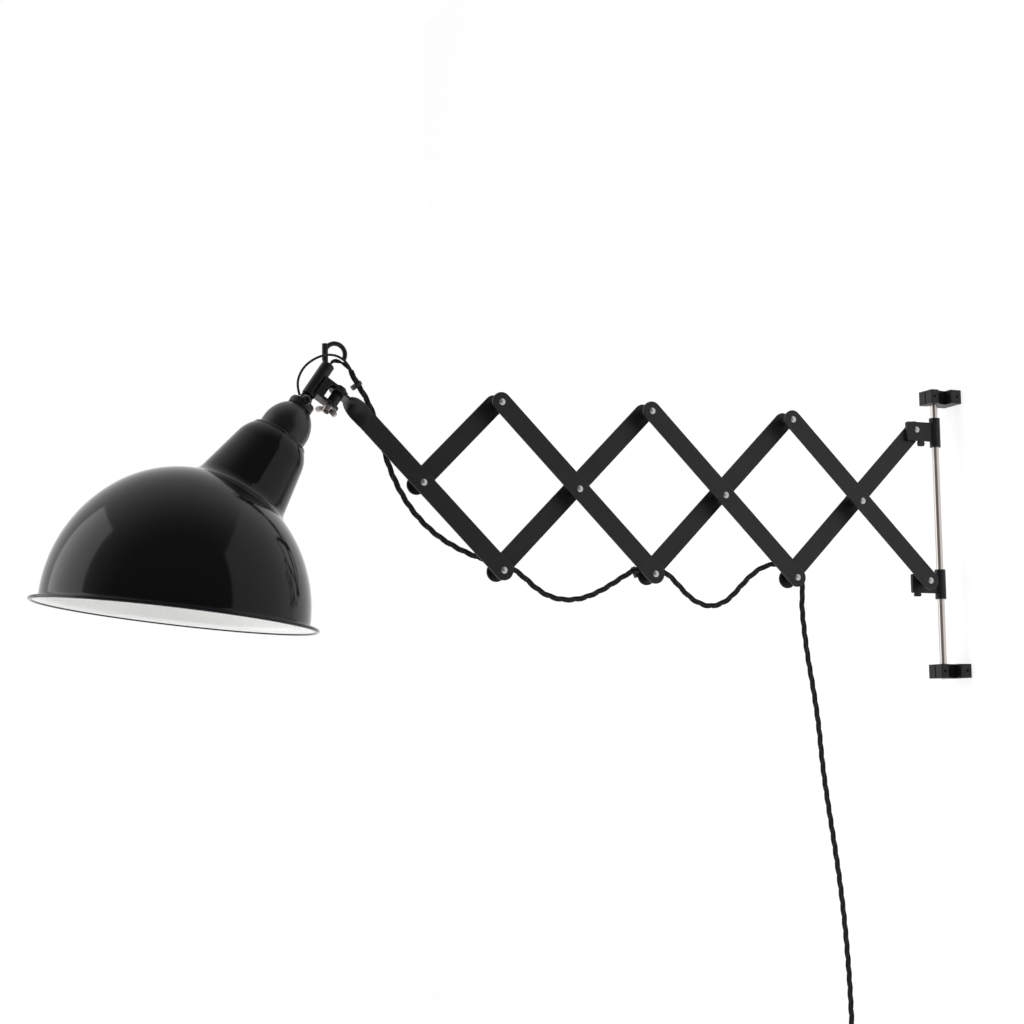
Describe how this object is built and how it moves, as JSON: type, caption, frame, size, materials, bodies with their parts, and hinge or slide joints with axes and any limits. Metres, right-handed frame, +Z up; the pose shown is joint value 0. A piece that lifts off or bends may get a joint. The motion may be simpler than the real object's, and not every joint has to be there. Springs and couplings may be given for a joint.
{
  "type": "accordion wall lamp",
  "caption": "Wall lamp on a scissor arm of flat riveted bars, sliding and swivelling on a vertical rod in wall brackets, with a tilting angled-neck enamel shade and a textile cord.",
  "frame": {"origin": "on the wall plane, midway between the two wall brackets and in the plane of the rod", "axes": "+X points into the wall, so the arm reaches along -X; +Z is up; +Y is to the back of the lattice as the picture shows it"},
  "size_m": [1.0908, 0.2801, 0.8633],
  "materials": {
    "nickel": "nickel-plated steel",
    "black_metal": "satin black lacquer",
    "bar_steel": "satin black lacquer on steel strip",
    "zinc": "zinc-plated steel",
    "enamel": "gloss black vitreous enamel outside, white inside",
    "liner_plastic": "black nylon",
    "phenolic": "moulded phenolic",
    "brass": "plain brass",
    "textile": "black braided textile over twisted cores",
    "plug_plastic": "moulded black plastic",
    "tie_plastic": "black nylon"
  },
  "bodies": {
    "wall_side": {"rod": "nickel", "upper_wall_bracket": "black_metal", "lower_wall_bracket": "black_metal", "clamp_screws": "nickel", "flange_set_screws": "black_metal"},
    "upper_liner_body": {"upper_liner": "liner_plastic"},
    "upper_slider_body": {"upper_slider": "black_metal", "upper_lock_screw": "zinc", "upper_slider_rivet": "zinc", "upper_slider_washer": "zinc"},
    "lower_slider_body": {"lower_slider": "black_metal", "lower_liner": "liner_plastic", "lower_lock_screw": "zinc"},
    "back_bar_body_1": {"back_bar_1": "bar_steel"},
    "back_bar_body_2": {"back_bar_2": "bar_steel"},
    "back_bar_body_3": {"back_bar_3": "bar_steel"},
    "back_bar_body_4": {"back_bar_4": "bar_steel"},
    "front_bar_body_1": {"front_bar_1": "bar_steel", "rivets_1": "zinc", "spacers_1": "zinc", "cord_arm": "textile", "cord_tie_head": "tie_plastic"},
    "front_bar_body_2": {"front_bar_2": "bar_steel", "rivets_2": "zinc", "spacers_2": "zinc", "cord_loop_1": "textile", "cord_tie_arm": "tie_plastic"},
    "front_bar_body_3": {"front_bar_3": "bar_steel", "rivets_3": "zinc", "spacers_3": "zinc", "cord_loop_2": "textile"},
    "front_bar_body_4": {"front_bar_4": "bar_steel", "rivets_4": "zinc", "spacers_4": "zinc"},
    "drop_cord": {"cord_drop": "textile", "cord_coil": "textile", "coil_tie": "tie_plastic", "plug": "plug_plastic", "plug_pins": "brass"},
    "stem_body": {"stem": "black_metal", "stem_screw": "black_metal", "clevis": "black_metal", "swivel_bolt": "black_metal", "swivel_bush": "zinc", "wing_nut": "nickel", "hook": "black_metal", "supply_lead": "textile", "earth_lead": "textile", "cord_head": "textile"},
    "shade_body": {"hinge_cap": "black_metal", "tilt_screw": "black_metal", "earth_terminal": "zinc", "nipple": "zinc", "socket_cover": "black_metal", "lampholder": "phenolic", "screw_shell": "brass", "centre_contact": "brass", "shade_ring": "black_metal", "shade": "enamel"}
  },
  "joints": [
    {"name": "arm_slide", "type": "slide", "parent": "wall_side", "child": "upper_liner_body", "axis": [0, 0, 1], "range_m": [-0.005, 0.014]},
    {"name": "arm_swivel", "type": "hinge", "parent": "upper_liner_body", "child": "upper_slider_body", "pos_m": [-0.027, 0, 0.12039], "axis": [0, 0, 1], "range_deg": [-70, 70]},
    {"name": "fold", "type": "hinge", "parent": "upper_slider_body", "child": "back_bar_body_4", "pos_m": [-0.053, 0.0026, 0.12039], "axis": [0, -1, 0], "range_deg": [-7, 30]},
    {"name": "crossing_4", "type": "hinge", "parent": "back_bar_body_4", "child": "front_bar_body_4", "pos_m": [-0.14139, -0.0067, 0.032], "axis": [0, -1, 0], "range_deg": [-60, 14]},
    {"name": "top_joint_3", "type": "hinge", "parent": "front_bar_body_4", "child": "back_bar_body_3", "pos_m": [-0.22978, -0.0067, 0.12039], "axis": [0, -1, 0], "range_deg": [-14, 60]},
    {"name": "crossing_3", "type": "hinge", "parent": "back_bar_body_3", "child": "front_bar_body_3", "pos_m": [-0.31816, -0.0067, 0.032], "axis": [0, -1, 0], "range_deg": [-60, 14], "deforming": ["cord_loop_2"]},
    {"name": "top_joint_2", "type": "hinge", "parent": "front_bar_body_3", "child": "back_bar_body_2", "pos_m": [-0.40655, -0.0067, 0.12039], "axis": [0, -1, 0], "range_deg": [-14, 60]},
    {"name": "crossing_2", "type": "hinge", "parent": "back_bar_body_2", "child": "front_bar_body_2", "pos_m": [-0.49494, -0.0067, 0.032], "axis": [0, -1, 0], "range_deg": [-60, 14], "deforming": ["cord_loop_1"]},
    {"name": "top_joint_1", "type": "hinge", "parent": "front_bar_body_2", "child": "back_bar_body_1", "pos_m": [-0.58333, -0.0067, 0.12039], "axis": [0, -1, 0], "range_deg": [-14, 60]},
    {"name": "crossing_1", "type": "hinge", "parent": "back_bar_body_1", "child": "front_bar_body_1", "pos_m": [-0.67172, -0.0067, 0.032], "axis": [0, -1, 0], "range_deg": [-60, 14]},
    {"name": "lower_slider_pivot", "type": "hinge", "parent": "front_bar_body_4", "child": "lower_slider_body", "pos_m": [-0.053, -0.002, -0.05639], "axis": [0, -1, 0], "range_deg": [-7, 30]},
    {"name": "cord_hang", "type": "hinge", "parent": "front_bar_body_3", "child": "drop_cord", "pos_m": [-0.22978, -0.0067, -0.05639], "axis": [0, -1, 0], "range_deg": [-7, 30]},
    {"name": "head_swivel", "type": "hinge", "parent": "front_bar_body_1", "child": "stem_body", "pos_m": [-0.7633, -0.01715, 0.11886], "axis": [0.5592, 0, 0.829], "range_deg": [-90, 90], "deforming": ["cord_head"]},
    {"name": "head_tilt", "type": "hinge", "parent": "stem_body", "child": "shade_body", "pos_m": [-0.79955, -0.01715, 0.10893], "axis": [0, 1, 0], "range_deg": [-30, 45], "deforming": ["earth_lead"]}
  ],
  "couplings": [
    {"joint": "crossing_4", "follows": "fold", "ratio": -2},
    {"joint": "top_joint_3", "follows": "fold", "ratio": 2},
    {"joint": "crossing_3", "follows": "fold", "ratio": -2},
    {"joint": "top_joint_2", "follows": "fold", "ratio": 2},
    {"joint": "crossing_2", "follows": "fold", "ratio": -2},
    {"joint": "top_joint_1", "follows": "fold", "ratio": 2},
    {"joint": "crossing_1", "follows": "fold", "ratio": -2},
    {"joint": "lower_slider_pivot", "follows": "fold", "ratio": 1},
    {"joint": "cord_hang", "follows": "fold", "ratio": 1}
  ]
}
